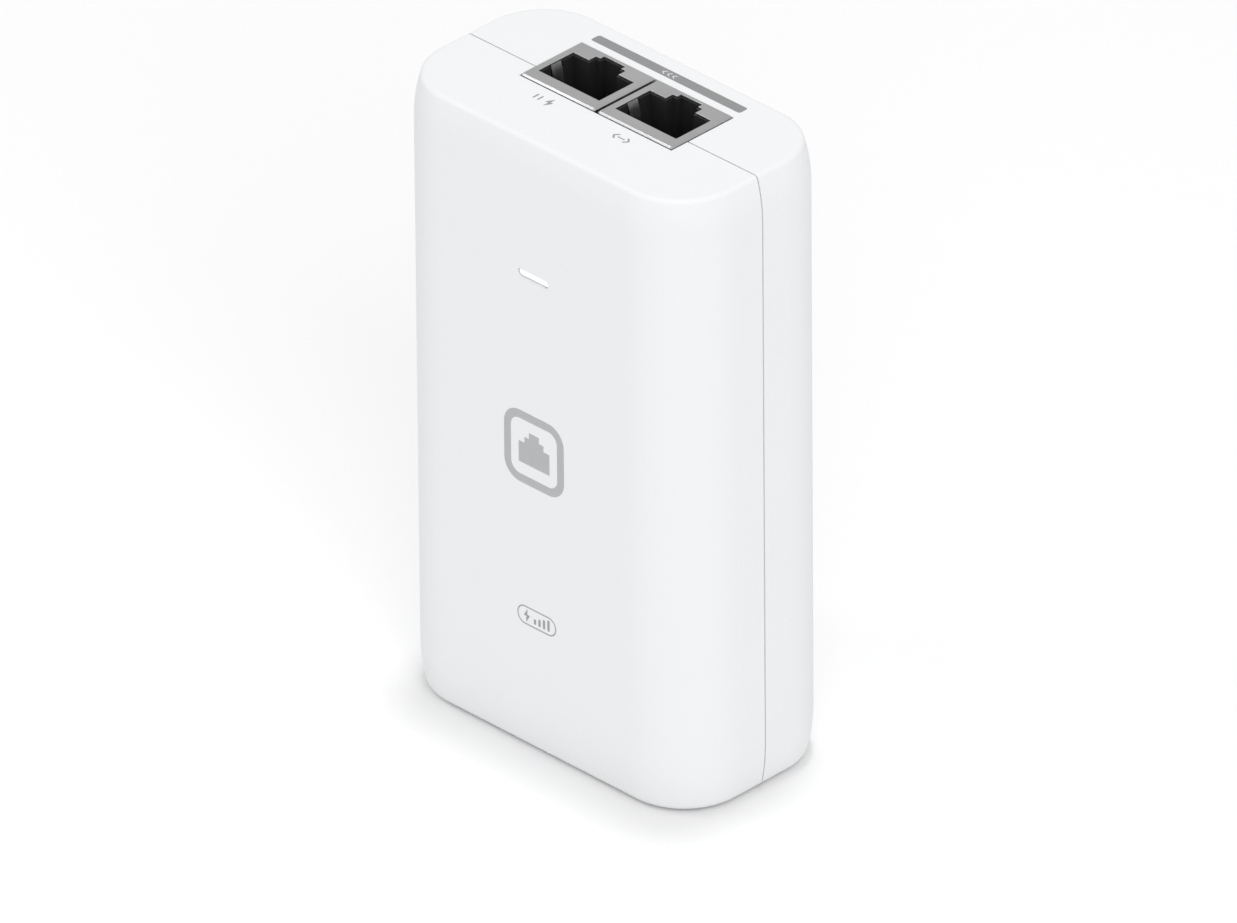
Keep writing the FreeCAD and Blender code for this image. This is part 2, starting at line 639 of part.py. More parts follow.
def jack_contacts(name, side):
    """Eight spring contacts that slope from their bend near the mouth into the channel."""
    body = new_body(name, many_solids=True)
    first = f"{jack_centre(side)} - (contact_count - 1) * contact_pitch / 2 - contact_width / 2"
    pivot = ("board_rear + contact_margin", f"{JACK_TOP} - contact_level")
    tip = (f"{pivot[0]} + contact_rise", f"{pivot[1]} - contact_run")
    half = "contact_section / 2"
    sketch = new_sketch(body, "YZ_Plane", first)
    outline(sketch, [(f"{pivot[0]} - {half}", pivot[1]), (f"{tip[0]} - {half}", tip[1]),
                     (f"{tip[0]} + {half}", tip[1]), (f"{pivot[0]} + {half}", pivot[1])])
    arm = extrude(sketch, "Pad", "contact_width")
    sketch = new_sketch(body, "YZ_Plane", first)
    disc(sketch, pivot, "contact_bend")
    bend = extrude(sketch, "Pad", "contact_width")
    row = body.newObject("PartDesign::LinearPattern", f"{name}_row")
    row.Originals = [arm, bend]
    row.Direction = (sketch, ["N_Axis"])
    bind(row, "Length", "(contact_count - 1) * contact_pitch")
    bind(row, "Occurrences", "contact_count")
    body.Tip = row
    return keep(body)


# ---------------------------------------------------------------- mains inlet

def blade_places():
    """Where each blade stands: line and neutral in one row, earth towards the cut corners."""
    row = "(inlet_place - earth_offset / 2)"
    return {
        "line_pin": ("(-blade_spacing / 2)", row),
        "neutral_pin": ("(blade_spacing / 2)", row),
        "earth_pin": ("(0)", "(inlet_place + earth_offset / 2)"),
    }


def inlet_housing():
    """Appliance inlet: a body through the base wall, a collar inside it, a cut-cornered well."""
    body = new_body("inlet_housing")
    middle = ("0", "inlet_place")
    sketch = new_sketch(body, "XY_Plane", "inlet_recess")
    centred_rectangle(sketch, middle, "inlet_width", "inlet_depth")
    shape = extrude(sketch, "Pad", "inlet_length")
    dress(shape, "Fillet", "inlet_corner", lambda edge: runs_along(edge, "z"))
    sketch = new_sketch(body, "XY_Plane", "wall + collar_gap")
    centred_rectangle(sketch, middle, "inlet_width", "inlet_depth", "collar_margin")
    extrude(sketch, "Pad", "collar_thickness")

    side = "inlet_cavity_width / 2"
    low = "inlet_place - inlet_cavity_depth / 2"
    high = "inlet_place + inlet_cavity_depth / 2"
    sketch = new_sketch(body, "XY_Plane", "inlet_recess")
    outline(sketch, [(f"-{side}", low), (side, low), (side, f"{high} - inlet_chamfer"),
                     (f"{side} - inlet_chamfer", high), (f"-{side} + inlet_chamfer", high),
                     (f"-{side}", f"{high} - inlet_chamfer")])
    extrude(sketch, "Pocket", "inlet_cavity_reach", backwards=True)
    sketch = new_sketch(body, "XY_Plane", "inlet_recess + inlet_length")
    for spot in blade_places().values():
        centred_rectangle(sketch, spot, "blade_thickness", "blade_width", "blade_gap")
    extrude(sketch, "Pocket", "inlet_length - inlet_cavity_reach + overcut")
    return keep(body)


def inlet_blade(name):
    """Blade with a foot that reaches the board's rear face, its mating end tapered."""
    across, along = blade_places()[name]
    body = new_body(name)
    tip = "blade_tip - earth_lead" if name == "earth_pin" else "blade_tip"
    near = f"{along} - blade_width / 2"
    far = f"{along} + blade_width / 2"
    sketch = new_sketch(body, "YZ_Plane", f"{across} - blade_thickness / 2")
    points = [(near, tip), (far, tip), (far, "blade_end")]
    if name == "earth_pin":
        points += [("board_rear", "blade_end"), ("board_rear", "blade_end - foot_height"),
                   (near, "blade_end - foot_height")]
    else:
        points += [(near, "blade_end")]
    outline(sketch, points)
    shape = extrude(sketch, "Pad", "blade_thickness")
    dress(shape, "Chamfer", "blade_chamfer", lambda edge: lies_at(edge, "z", tip))
    return keep(body)


# ---------------------------------------------------------------- board and fasteners

def main_board():
    body = new_body("main_board")
    sketch = new_sketch(body, "XZ_Plane", f"-{BOARD_FRONT}")
    rectangle(sketch, ("-board_width / 2", "board_low"), ("board_width / 2", "board_high"))
    for spot in screw_places():
        disc(sketch, spot, "screw_radius + hole_gap")
    plate = extrude(sketch, "Pad", "board_thickness", backwards=True)
    dress(plate, "Chamfer", "board_chamfer", lambda edge: stands_off(edge, "y", "board_width / 2"))
    return keep(body)


def board_screws():
    """Four pan-head screws, each a shank in its boss and a head on the board."""
    screws = []
    for number, (across, level) in enumerate(screw_places(), start=1):
        shank = rod(f"screw_shank_{number}", (across, f"{BOARD_FRONT} - screw_depth", level),
                    "screw_radius", "screw_depth + board_thickness", "Y")
        head = rod(f"screw_head_{number}", (across, "board_rear", level),
                   "head_radius", "head_height", "Y")
        drive = block(f"screw_drive_{number}",
                      (f"{across} - head_radius / 2", "board_rear + head_height / 2",
                       f"{level} - drive_width / 2"),
                      ("head_radius", "head_height", "drive_width"))
        top = without(f"screw_top_{number}", head, drive)
        screws.append(joined(f"screw_{number}", [shank, top]))
    return keep(grouped("board_screws", screws))


def insulating_sheet():
    return keep(block("insulating_sheet",
                      ("-sheet_width / 2", "-case_depth / 2 + wall + sheet_gap", "sheet_low"),
                      ("sheet_width", "sheet_thickness", "sheet_high - sheet_low")))


# ---------------------------------------------------------------- parts on the board

def standing_block(name, middle, size, foot="board_rear"):
    """Box about its middle across X and along Z, rising from the foot away from the front."""
    (across, level), (width, height, length) = middle, size
    return block(name, (f"{across} - {width} / 2", foot, f"{level} - {length} / 2"),
                 (width, height, length))


def middle_of(part):
    return f"{part}_across", f"{part}_level"


def size_of(part):
    return f"{part}_width", f"{part}_height", f"{part}_length"


def leads(name, spots, reach="stand_off"):
    """Short wire leads from the board's rear face up to a part."""
    return [standing_block(f"{name}_lead_{number}", spot, ("lead", reach, "lead"))
            for number, spot in enumerate(spots, start=1)]


def lead_row(part, count, along_level=False):
    """Places of a row of leads about the part's middle, across X or along Z."""
    across, level = middle_of(part)
    steps = [f"({number} - {count - 1} / 2) * {part}_pitch" for number in range(count)]
    if along_level:
        return [(across, f"{level} + {step}") for step in steps]
    return [(f"{across} + {step}", level) for step in steps]


def upright_disc(name):
    """Disc-shaped part on two leads, its flat faces turned to the sides of the case."""
    across, level = middle_of(name)
    radius, thickness = f"{name}_radius", f"{name}_thickness"
    body = rod(f"{name}_disc",
               (f"{across} - {thickness} / 2", f"board_rear + stand_off + {radius}", level),
               radius, thickness, "X")
    coated = rounded(f"{name}_coat", body, "2 * body_edge")
    spots = [(across, f"{level} - {radius} / 2"), (across, f"{level} + {radius} / 2")]
    return keep(joined(name, [coated, *leads(name, spots, f"stand_off + {radius} / 3")]))


def moulded_box(name, spots):
    """Moulded box a little off the board's rear face, on leads."""
    body = standing_block(f"{name}_body", middle_of(name), size_of(name), "board_rear + seat")
    case = rounded(f"{name}_case", body, "body_edge")
    return keep(joined(name, [case, *leads(name, spots)]))


def front_chip(name, kind, side=1):
    """Flat package soldered on the board's front face, to the right or mirrored to the left."""
    across, level = middle_of(kind)
    return standing_block(name, (f"{side} * {across}", level), size_of(kind),
                          f"{BOARD_FRONT} - {kind}_height")


def wound_ring(name, first_degrees, step_degrees):
    """Ring core with its axis out from the board, and turns of wire round it."""
    across, level = middle_of(name)
    radius, section, wire = f"{name}_radius", f"{name}_section", f"{name}_wire"
    middle = f"board_rear + {name}_seat"
    keep(ring(f"{name}_core", (across, middle, level), radius, section, "Y"))
    turns = []
    for degrees in range(first_degrees, 360, step_degrees):
        turn = ring(f"{name}_turn_{degrees}",
                    (f"{across} + {radius} * cos({degrees} deg)", middle,
                     f"{level} + {radius} * sin({degrees} deg)"),
                    f"{section} + {wire} + wire_gap", wire)
        turn.Placement.Rotation = Rotation(Vector(0, 1, 0), -degrees)
        turns.append(turn)
    keep(grouped(f"{name}_winding", turns))


def power_package(name, thin_along):
    """Three-lead package standing on the board, its flat back turned along X or Z."""
    across, level = middle_of(name)
    steps = [f"{number} * package_pitch" for number in (-1, 0, 1)]
    if thin_along == "X":
        size = ("package_thickness", "package_height", "package_width")
        spots = [(across, f"{level} + {step}") for step in steps]
    else:
        size = ("package_width", "package_height", "package_thickness")
        spots = [(f"{across} + {step}", level) for step in steps]
    body = standing_block(f"{name}_body", (across, level), size, "board_rear + package_lift")
    case = rounded(f"{name}_case", body, "body_edge")
    return keep(joined(name, [case, *leads(name, spots, "package_lift + body_edge")]))


def electrolytic(name, start, radius, length, along):
    """Can with a grooved sleeve end."""
    can = rod(f"{name}_can", start, radius, length, along)
    axis = "XYZ".index(along)
    groove_start = list(start)
    groove_start[axis] = f"{start[axis]} + groove_place"
    groove = ring(f"{name}_groove", groove_start, f"{radius} + groove_lift", "groove_section", along)
    return without(name, can, groove)


def supply_parts():
    """Mains side and conversion parts on the board's rear face."""
    across, level = middle_of("fuse")
    cartridge = rod("fuse_cartridge", (across, "board_rear + seat", level),
                    "fuse_radius", "fuse_height", "Y")
    keep(joined("fuse", [rounded("fuse_round", cartridge, "body_edge"),
                         *leads("fuse", lead_row("fuse", 2))]))
    for name in ("varistor", "thermistor", "y_capacitor"):
        upright_disc(name)
    moulded_box("x_capacitor", lead_row("x_capacitor", 2))
    wound_ring("choke", 30, 30)
    bridge = standing_block("bridge_body", middle_of("bridge"), size_of("bridge"),
                            "board_rear + bridge_lift")
    keep(joined("bridge_rectifier", [rounded("bridge_case", bridge, "body_edge"),
                                     *leads("bridge", lead_row("bridge", 4, along_level=True),
                                            "bridge_lift + body_edge")]))
    across, level = middle_of("bulk_capacitor")
    keep(electrolytic("bulk_capacitor", (across, "board_rear + bulk_capacitor_seat", level),
                      "bulk_capacitor_radius", "bulk_capacitor_length", "Z"))
    keep(standing_block("primary_heatsink", middle_of("primary_heatsink"),
                        size_of("primary_heatsink")))
    power_package("switching_transistor", "X")


def transformer():
    """Ferrite core with open sides, a flanged bobbin on its middle leg and a taped winding."""
    across, level = middle_of("transformer")
    width, height, length = size_of("transformer")
    foot = "board_rear + transformer_lift"
    outer = standing_block("core_block", (across, level), (width, height, length), foot)
    window = standing_block("core_window", (across, level),
                            (f"({width} - 2 * core_side)", f"{height} + 2 * overcut",
                             f"({length} - 2 * core_yoke)"), f"{foot} - overcut")
    axis = (across, f"{foot} + {height} / 2")
    leg = rod("core_leg", (*axis, f"{level} - core_leg_length / 2"), "core_leg", "core_leg_length")
    keep(joined("transformer_core", [without("core_frame", outer, window), leg]))

    def sleeve(name, bore, radius, start, length):
        solid = rod(f"{name}_solid", (*axis, start), radius, length)
        hole = rod(f"{name}_hole", (*axis, f"{start} - overcut"), bore, f"{length} + 2 * overcut")
        return without(name, solid, hole)

    low = f"{level} - bobbin_length / 2"
    tube = sleeve("bobbin_tube", "bobbin_bore", "bobbin_tube", low, "bobbin_length")
    cheeks = [sleeve(f"bobbin_cheek_{word}", "bobbin_bore", "bobbin_flange", start, "bobbin_cheek")
              for word, start in (("low", low), ("high", f"{low} + bobbin_length - bobbin_cheek"))]
    keep(joined("transformer_bobbin", [tube, *cheeks]))
    keep(sleeve("transformer_winding", "winding_bore", "winding_radius",
                f"{level} - winding_length / 2", "winding_length"))


def output_parts():
    """Secondary side parts on the board's rear face."""
    keep(standing_block("secondary_heatsink", middle_of("secondary_heatsink"),
                        size_of("secondary_heatsink")))
    power_package("rectifier_diode", "Z")
    across, level = middle_of("output_capacitor")
    cans = [electrolytic(f"output_capacitor_{number}",
                         (f"{across} + {number} * output_capacitor_pitch", "board_rear + seat", level),
                         "output_capacitor_radius", "output_capacitor_length", "Y")
            for number in range(2)]
    keep(grouped("output_capacitors", cans))
    wound_ring("inductor", 0, 36)
    pads = [(across, f"{level} + {row} * optocoupler_rows / 2")
            for across, level in lead_row("optocoupler", 2) for row in (-1, 1)]
    moulded_box("optocoupler", pads)


def front_parts():
    """Packages soldered on the board's front face, behind the front shell."""
    for name in ("power_controller", "switching_controller", "status_led"):
        keep(front_chip(name, name))
    pair = [front_chip(f"port_transformer_{word}", "port_transformer", side)
            for word, side in (("left", -1), ("right", 1))]
    keep(grouped("port_transformers", pair))


# ---------------------------------------------------------------- whole injector

front_shell()
rear_shell()
rating_label()
port_strip()
light_pipe()
for prefix, jack_side in (("output_jack", -1), ("data_jack", 1)):
    jack_shield(f"{prefix}_shield", jack_side)
    jack_housing(f"{prefix}_housing", jack_side)
    jack_contacts(f"{prefix}_contacts", jack_side)
inlet_housing()
for blade in blade_places():
    inlet_blade(blade)
main_board()
board_screws()
insulating_sheet()
supply_parts()
transformer()
output_parts()
front_parts()
document.recompute()

for thing in document.Objects:
    if {"Invalid", "Error"} & set(thing.State):
        raise RuntimeError(f"{thing.Name} failed: {thing.State}")
for thing in subparts:
    shape = thing.Shape
    if shape.isNull() or not shape.isValid() or not shape.Solids:
        raise RuntimeError(f"{thing.Label} has no valid solid")
os.makedirs("parts", exist_ok=True)
for thing in subparts:
    thing.Shape.exportStep(f"parts/{thing.Label}.step")
    print(f"{thing.Label}: {len(thing.Shape.Solids)} solid(s), {thing.Shape.Volume:.1f} mm3")
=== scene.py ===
import json
import math

import bmesh
import bpy
from mathutils import Matrix, Vector


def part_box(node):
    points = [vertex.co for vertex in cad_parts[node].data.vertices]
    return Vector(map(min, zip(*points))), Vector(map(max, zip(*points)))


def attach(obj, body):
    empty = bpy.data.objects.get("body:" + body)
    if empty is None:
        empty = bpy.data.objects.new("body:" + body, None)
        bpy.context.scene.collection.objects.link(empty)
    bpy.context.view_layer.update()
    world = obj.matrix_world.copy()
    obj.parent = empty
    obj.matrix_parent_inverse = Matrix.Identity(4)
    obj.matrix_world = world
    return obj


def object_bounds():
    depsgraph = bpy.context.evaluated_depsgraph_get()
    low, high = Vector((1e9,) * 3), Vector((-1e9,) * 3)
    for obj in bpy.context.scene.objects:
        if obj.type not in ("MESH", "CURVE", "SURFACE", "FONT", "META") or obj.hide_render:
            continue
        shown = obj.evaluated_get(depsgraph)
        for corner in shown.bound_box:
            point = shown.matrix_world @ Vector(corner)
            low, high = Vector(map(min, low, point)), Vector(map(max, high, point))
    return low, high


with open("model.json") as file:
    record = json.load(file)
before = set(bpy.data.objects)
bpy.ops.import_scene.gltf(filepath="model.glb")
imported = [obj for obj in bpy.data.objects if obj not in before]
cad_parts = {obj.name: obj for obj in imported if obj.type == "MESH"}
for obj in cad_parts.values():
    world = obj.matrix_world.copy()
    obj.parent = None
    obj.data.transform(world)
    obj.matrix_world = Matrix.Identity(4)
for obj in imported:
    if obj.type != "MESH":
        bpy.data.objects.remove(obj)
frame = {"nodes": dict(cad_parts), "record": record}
CAD_BOX = [list(corner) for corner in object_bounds()]

MM = 0.001
BODY = "case"
NODES = frame["nodes"]

# ---------------------------------------------------------------- places read from the frame

FRONT_LOW, FRONT_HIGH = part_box("front_shell")
OUTPUT_LOW, OUTPUT_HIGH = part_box("output_jack_shield")
DATA_LOW, DATA_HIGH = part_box("data_jack_shield")
STRIP_LOW, STRIP_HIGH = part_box("port_strip")
LABEL_LOW, LABEL_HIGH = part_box("rating_label")
FRONT_Y = FRONT_LOW.y
TOP_Z = FRONT_HIGH.z
LENS_FACE = min(corner.co.y for corner in NODES["light_pipe"].data.vertices)

# ---------------------------------------------------------------- sizes and settings

INK_DEPTH = 0.012 * MM  # how far an ink film reaches into the surface under it
INK_PROUD = 0.018 * MM  # how far it stands out of that surface
ARC_STEPS = 10  # steps round each corner or end of a mark
DOT_STEPS = 16
EMBLEM_PLACE = (0.0, 56.0 * MM)
BADGE_PLACE = (0.25 * MM, 25.1 * MM)
PORT_MARK_GAP = 2.9 * MM  # from the front edge of a jack to the middle of its mark
LENS_GLOW = 0.35
LENS_GLOW_DEPTH = 0.15 * MM  # the glow has faded this far behind the lens face

SURROUND_STRENGTH = 0.645
FLOOR_HALF_WIDTH = 1.5
FLOOR_DROP = 0.5 * MM  # below the base, so that the line of contact reads dark
LIGHT_AIM = (0.0, 0.0, 0.06)
LIGHTS = {  # azimuth, elevation, distance, size, power
    "overhead": (200.0, 86.5, 2.0, 0.215, 9.9),
    "key": (54.0, 35.0, 1.4, 0.9, 5.5),
    "edge": (-49.0, 37.0, 1.4, 0.35, 1.1),
}
CAMERA_TARGET_MM = (-0.26, 1.08, 45.88)
CAMERA_YAW, CAMERA_PITCH, CAMERA_ROLL = 44.84, 31.30, -0.47
CAMERA_DISTANCE = 4.734
CAMERA_LENS = 873.1
CAMERA_SENSOR = 36.0
CAMERA_CLIP = (0.5, 20.0)


# ---------------------------------------------------------------- material building

class Recipe:
    """A node material built step by step around one Principled shader."""

    def __init__(self, name, colour, roughness, metallic=0.0, **sockets):
        self.material = bpy.data.materials.new(name)
        self.material.use_nodes = True
        self.tree = self.material.node_tree
        self.shader = self.tree.nodes["Principled BSDF"]
        self.colour = colour
        self.shader.inputs["Base Color"].default_value = (*colour, 1.0)
        self.shader.inputs["Roughness"].default_value = roughness
        self.shader.inputs["Metallic"].default_value = metallic
        for socket, amount in sockets.items():
            self.shader.inputs[socket.replace("_", " ")].default_value = amount
        self.place = self.tree.nodes.new("ShaderNodeTexCoord").outputs["Object"]

    def link(self, source, target):
        self.tree.links.new(source, target)

    def node(self, kind, **inputs):
        made = self.tree.nodes.new(kind)
        for socket, amount in inputs.items():
            made.inputs[socket.replace("_", " ")].default_value = amount
        return made

    def stretched(self, stretch):
        """Object coordinates squeezed along each axis, for grain that runs one way."""
        mapping = self.node("ShaderNodeMapping")
        mapping.inputs["Scale"].default_value = stretch
        self.link(self.place, mapping.inputs["Vector"])
        return mapping.outputs["Vector"]

    def noise(self, scale, detail=2.0, stretch=None):
        noise = self.node("ShaderNodeTexNoise", Scale=scale, Detail=detail)
        self.link(self.stretched(stretch) if stretch else self.place, noise.inputs["Vector"])
        return noise.outputs["Fac"]

    def spread(self, source, low, high):
        """Map a texture's 0 to 1 onto a range."""
        ranged = self.node("ShaderNodeMapRange", To_Min=low, To_Max=high)
        self.link(source, ranged.inputs["Value"])
        return ranged.outputs["Result"]

    def vary_roughness(self, source, low, high):
        self.link(self.spread(source, low, high), self.shader.inputs["Roughness"])

    def vary_colour(self, source, shade):
        """Drift between the base colour and a shade of it."""
        mix = self.tree.nodes.new("ShaderNodeMix")
        mix.data_type = "RGBA"
        mix.inputs["A"].default_value = (*self.colour, 1.0)
        mix.inputs["B"].default_value = (*(part * shade for part in self.colour), 1.0)
        self.link(source, mix.inputs["Factor"])
        self.link(mix.outputs["Result"], self.shader.inputs["Base Color"])

    def bump(self, source, height, strength=1.0):
        bump = self.node("ShaderNodeBump", Strength=strength, Distance=height)
        self.link(source, bump.inputs["Height"])
        self.link(bump.outputs["Normal"], self.shader.inputs["Normal"])


def moulded(name, colour, roughness, grain_scale, grain_height, **sockets):
    """Moulded plastic with a fine sparked texture and a slow drift in gloss."""
    recipe = Recipe(name, colour, roughness, **sockets)
    slow = recipe.noise(60.0, 3.0)
    recipe.vary_roughness(slow, roughness - 0.05, roughness + 0.05)
    recipe.vary_colour(slow, 0.985)
    recipe.bump(recipe.noise(grain_scale, 3.0), grain_height)
    return recipe.material


def brushed(name, colour, roughness, stretch):
    """Sheet metal with fine scratches that run one way."""
    recipe = Recipe(name, colour, roughness, metallic=1.0)
    scratches = recipe.noise(900.0, 4.0, stretch)
    recipe.vary_roughness(scratches, roughness - 0.1, roughness + 0.12)
    # The slow drift in colour is painted reflection: it stands in for uneven reflections across the
    # faces, placed at random.
    recipe.vary_colour(recipe.noise(130.0, 2.0), 0.84)
    recipe.bump(scratches, 0.004 * MM, 0.6)
    return recipe.material


def plated(name, colour, roughness):
    """Thin plating over drawn metal, slightly uneven in gloss."""
    recipe = Recipe(name, colour, roughness, metallic=1.0)
    recipe.vary_roughness(recipe.noise(1200.0, 3.0), roughness - 0.06, roughness + 0.08)
    recipe.vary_colour(recipe.noise(400.0, 2.0), 0.92)
    recipe.bump(recipe.noise(2500.0, 2.0), 0.001 * MM)
    return recipe.material


def ink(name, colour):
    """Pad-printed ink with a faint mottling."""
    recipe = Recipe(name, colour, 0.45)
    mottle = recipe.noise(1500.0, 3.0)
    recipe.vary_colour(mottle, 0.94)
    recipe.vary_roughness(mottle, 0.4, 0.52)
    return recipe.material


def milky(name, face_y):
    """Light pipe: frosted clear plastic with a faint glow on its lens face, at this depth."""
    recipe = Recipe(name, (0.93, 0.94, 0.96), 0.3, Emission_Strength=LENS_GLOW)
    parts = recipe.node("ShaderNodeSeparateXYZ")
    recipe.link(recipe.place, parts.inputs["Vector"])
    face = recipe.node("ShaderNodeMapRange", From_Min=face_y, From_Max=face_y + LENS_GLOW_DEPTH,
                       To_Min=1.0, To_Max=0.0)
    recipe.link(parts.outputs["Y"], face.inputs["Value"])
    glow = recipe.tree.nodes.new("ShaderNodeMix")
    glow.data_type = "RGBA"
    glow.inputs["A"].default_value = (0.0, 0.0, 0.0, 1.0)
    glow.inputs["B"].default_value = (0.96, 0.98, 1.0, 1.0)
    recipe.link(face.outputs["Result"], glow.inputs["Factor"])
    recipe.link(glow.outputs["Result"], recipe.shader.inputs["Emission Color"])
    recipe.vary_roughness(recipe.noise(700.0, 2.0), 0.22, 0.4)
    recipe.bump(recipe.noise(1800.0, 2.0), 0.002 * MM)
    return recipe.material


def board_material(name):
    """Solder mask over woven glass, with the weave showing faintly through."""
    recipe = Recipe(name, (0.015, 0.13, 0.06), 0.35)
    recipe.shader.inputs["Coat Weight"].default_value = 0.4
    weave = recipe.node("ShaderNodeTexChecker", Scale=1400.0)
    recipe.link(recipe.place, weave.inputs["Vector"])
    recipe.vary_colour(recipe.noise(90.0, 3.0), 0.8)
    recipe.bump(weave.outputs["Fac"], 0.004 * MM, 0.4)
    return recipe.material


MATERIALS = {
    "white_case": moulded("case_plastic", (0.853, 0.860, 0.872), 0.5, 2600.0, 0.0035 * MM,
                          Specular_IOR_Level=0.12),
    "light_pipe": milky("lens_plastic", LENS_FACE),
    "grey_inlay": moulded("inlay_plastic", (0.275, 0.275, 0.28), 0.42, 2200.0, 0.003 * MM),
    "label": moulded("label_film", (0.74, 0.745, 0.75), 0.5, 1800.0, 0.004 * MM),
    "shield_metal": brushed("shield_sheet", (0.62, 0.62, 0.625), 0.34, (0.05, 1.0, 1.0)),
    "black_insert": moulded("insert_plastic", (0.021, 0.021, 0.022), 0.5, 2000.0, 0.004 * MM),
    "gold_contact": plated("contact_gold", (0.90, 0.66, 0.28), 0.4),
    "inlet_black": moulded("inlet_plastic", (0.02, 0.02, 0.022), 0.4, 1700.0, 0.006 * MM),
    "nickel_blade": plated("blade_nickel", (0.72, 0.70, 0.66), 0.2),
    "board_green": board_material("solder_mask"),
    "screw_steel": plated("screw_zinc", (0.62, 0.62, 0.63), 0.28),
    "insulator": moulded("insulating_film", (0.09, 0.09, 0.1), 0.5, 900.0, 0.004 * MM),
    "led_package": moulded("led_resin", (0.88, 0.84, 0.66), 0.3, 2000.0, 0.002 * MM),
    "fuse_case": moulded("fuse_plastic", (0.03, 0.03, 0.03), 0.45, 1600.0, 0.005 * MM),
    "varistor_coat": moulded("varistor_epoxy", (0.03, 0.10, 0.38), 0.4, 700.0, 0.02 * MM),
    "thermistor_coat": moulded("thermistor_silicone", (0.04, 0.07, 0.05), 0.55, 700.0, 0.02 * MM),
    "ceramic_coat": moulded("capacitor_epoxy", (0.06, 0.24, 0.5), 0.4, 700.0, 0.02 * MM),
    "film_yellow": moulded("film_case", (0.72, 0.48, 0.05), 0.4, 1500.0, 0.005 * MM),
    "ferrite": moulded("ferrite_ceramic", (0.055, 0.055, 0.06), 0.62, 500.0, 0.02 * MM),
    "copper_wire": plated("enamelled_copper", (0.66, 0.28, 0.1), 0.25),
    "epoxy_black": moulded("package_epoxy", (0.022, 0.022, 0.024), 0.5, 1800.0, 0.006 * MM),
    "can_sleeve": moulded("sleeve_film", (0.03, 0.035, 0.06), 0.28, 800.0, 0.004 * MM),
    "heatsink_aluminium": brushed("heatsink_sheet", (0.70, 0.71, 0.72), 0.4, (1.0, 0.05, 1.0)),
    "bobbin_plastic": moulded("bobbin_resin", (0.04, 0.04, 0.04), 0.5, 1400.0, 0.005 * MM),
    "tape_yellow": moulded("winding_tape", (0.8, 0.56, 0.06), 0.35, 600.0, 0.01 * MM),
    "opto_white": moulded("opto_epoxy", (0.8, 0.78, 0.72), 0.45, 1800.0, 0.005 * MM),
}
INK = ink("grey_ink", (0.455, 0.465, 0.475))
FINE_INK = ink("fine_ink", (0.33, 0.34, 0.35))
PALE_INK = ink("pale_ink", (0.72, 0.72, 0.73))


def dress_nodes():
    """Give every CAD node the material of its slot."""
    slots = {entry["node"]: entry["material_slot"] for entry in frame["record"]["subparts"]}
    for name, node in NODES.items():
        mesh = node.data
        mesh.materials.clear()
        mesh.materials.append(MATERIALS[slots[name]])
        for face in mesh.polygons:
            face.material_index = 0


# ---------------------------------------------------------------- printed marks
# A mark is drawn in millimetres on a plane, as closed outlines, and stands as a thin ink film.
# The planes themselves are placed in metres.

def circle_outline(centre, radius):
    return [(centre[0] + radius * math.cos(turn), centre[1] + radius * math.sin(turn))
            for turn in (math.tau * step / DOT_STEPS for step in range(DOT_STEPS))]


def bar_outline(start, end, width):
    """Straight bar with round ends."""
    axis = math.atan2(end[1] - start[1], end[0] - start[0])
    points = []
    for centre, turned in ((end, axis - math.pi / 2), (start, axis + math.pi / 2)):
        for step in range(ARC_STEPS + 1):
            turn = turned + math.pi * step / ARC_STEPS
            points.append((centre[0] + width / 2 * math.cos(turn),
                           centre[1] + width / 2 * math.sin(turn)))
    return points


def rounded_outline(centre, size, radius):
    """Rectangle with round corners, anticlockwise."""
    points = []
    for quarter, (side_x, side_y) in enumerate(((1, 1), (-1, 1), (-1, -1), (1, -1))):
        corner = (centre[0] + side_x * (size[0] / 2 - radius),
                  centre[1] + side_y * (size[1] / 2 - radius))
        for step in range(ARC_STEPS + 1):
            turn = (quarter + step / ARC_STEPS) * math.pi / 2
            points.append((corner[0] + radius * math.cos(turn), corner[1] + radius * math.sin(turn)))
    return points


def film(name, shapes, rings, place, material):
    """Thin ink film from filled outlines, and from rings given as an outer and an inner outline."""
    built = bmesh.new()

    def level(points, height):
        return [built.verts.new((x * MM, y * MM, height)) for x, y in points]

    def walls(low, high, outward=True):
        for index in range(len(low)):
            after = (index + 1) % len(low)
            corners = [low[index], low[after], high[after], high[index]]
            built.faces.new(corners if outward else corners[::-1])

    for points in shapes:
        low, high = level(points, -INK_DEPTH), level(points, INK_PROUD)
        built.faces.new(low[::-1])
        built.faces.new(high)
        walls(low, high)
    for outer, inner in rings:
        outer_low, outer_high = level(outer, -INK_DEPTH), level(outer, INK_PROUD)
        inner_low, inner_high = level(inner, -INK_DEPTH), level(inner, INK_PROUD)
        walls(outer_low, outer_high)
        walls(inner_low, inner_high, outward=False)
        for index in range(len(outer)):
            after = (index + 1) % len(outer)
            built.faces.new([outer_high[index], outer_high[after],
                             inner_high[after], inner_high[index]])
            built.faces.new([outer_low[after], outer_low[index],
                             inner_low[index], inner_low[after]])
    mesh = bpy.data.meshes.new(name)
    bmesh.ops.recalc_face_normals(built, faces=built.faces)
    built.to_mesh(mesh)
    built.free()
    mesh.materials.append(material)
    piece = bpy.data.objects.new(name, mesh)
    bpy.context.scene.collection.objects.link(piece)
    mesh.transform(place)
    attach(piece, BODY)


def on_front(across, height):
    """Drawing plane on the front face: drawing x runs to +X and drawing y runs up."""
    return Matrix.Translation((across, FRONT_Y, height)) @ Matrix.Rotation(math.pi / 2, 4, "X")


def on_back(across, height, depth):
    """Drawing plane on the rear: read from behind, drawing x runs to -X."""
    return (Matrix.Translation((across, depth, height)) @ Matrix.Rotation(math.pi, 4, "Z")
            @ Matrix.Rotation(math.pi / 2, 4, "X"))


